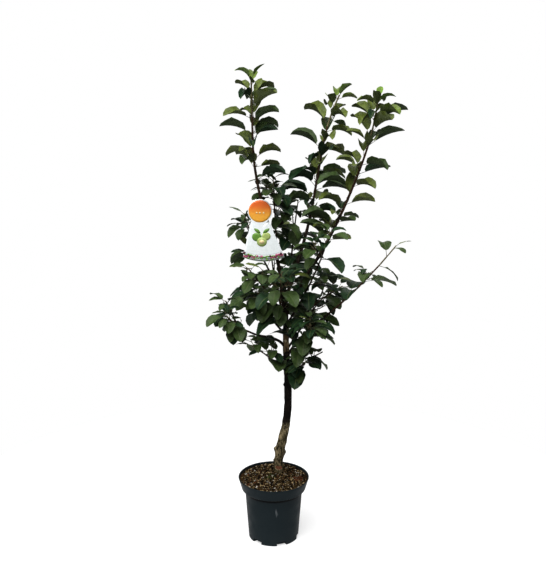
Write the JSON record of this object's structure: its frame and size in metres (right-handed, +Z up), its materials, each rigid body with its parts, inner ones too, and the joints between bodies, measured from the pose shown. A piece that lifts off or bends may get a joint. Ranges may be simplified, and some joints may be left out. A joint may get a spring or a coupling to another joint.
{
  "type": "potted dwarf apple tree",
  "caption": "Young dwarf apple tree with a leaning trunk, upright boughs and leafy masses, growing in a round nursery pot of bark compost, with a plain hang tag.",
  "frame": {"origin": "middle of the pot's flat underside, on the ground", "axes": "+Z up along the tree, -Y towards the side that the picture shows, with the hang tag, +X to that view's right"},
  "size_m": [0.6401, 0.468, 1.5877],
  "materials": {
    "foliage": "satin green leaves, paler below, brighter at the shoot tips",
    "bark": "matt bark, dark brown above and olive beige low on the trunk",
    "pot": "satin blue-black moulded plastic",
    "soil": "matt crumbly bark compost",
    "tag": "printed satin card"
  },
  "bodies": {
    "root": {"back_centre_leaves": "foliage", "back_left_leaves": "foliage", "back_right_leaves": "foliage", "back_top_leaves": "foliage", "front_leaves": "foliage", "hang_tag": "tag", "left_bough": "bark", "left_inner_leaves": "foliage", "left_middle_leaves": "foliage", "left_skirt_leaves": "foliage", "left_top_leaves": "foliage", "low_front_leaves": "foliage", "low_left_arm_leaves": "foliage", "low_left_bough": "bark", "low_right_arm_leaves": "foliage", "low_right_bough": "bark", "low_right_leaves": "foliage", "middle_bough": "bark", "middle_top_leaves": "foliage", "pot": "pot", "right_bough": "bark", "right_inner_leaves": "foliage", "right_skirt_leaves": "foliage", "right_top_leaves": "foliage", "soil": "soil", "tag_side_leaves": "foliage", "trunk": "bark"}
  },
  "joints": []
}
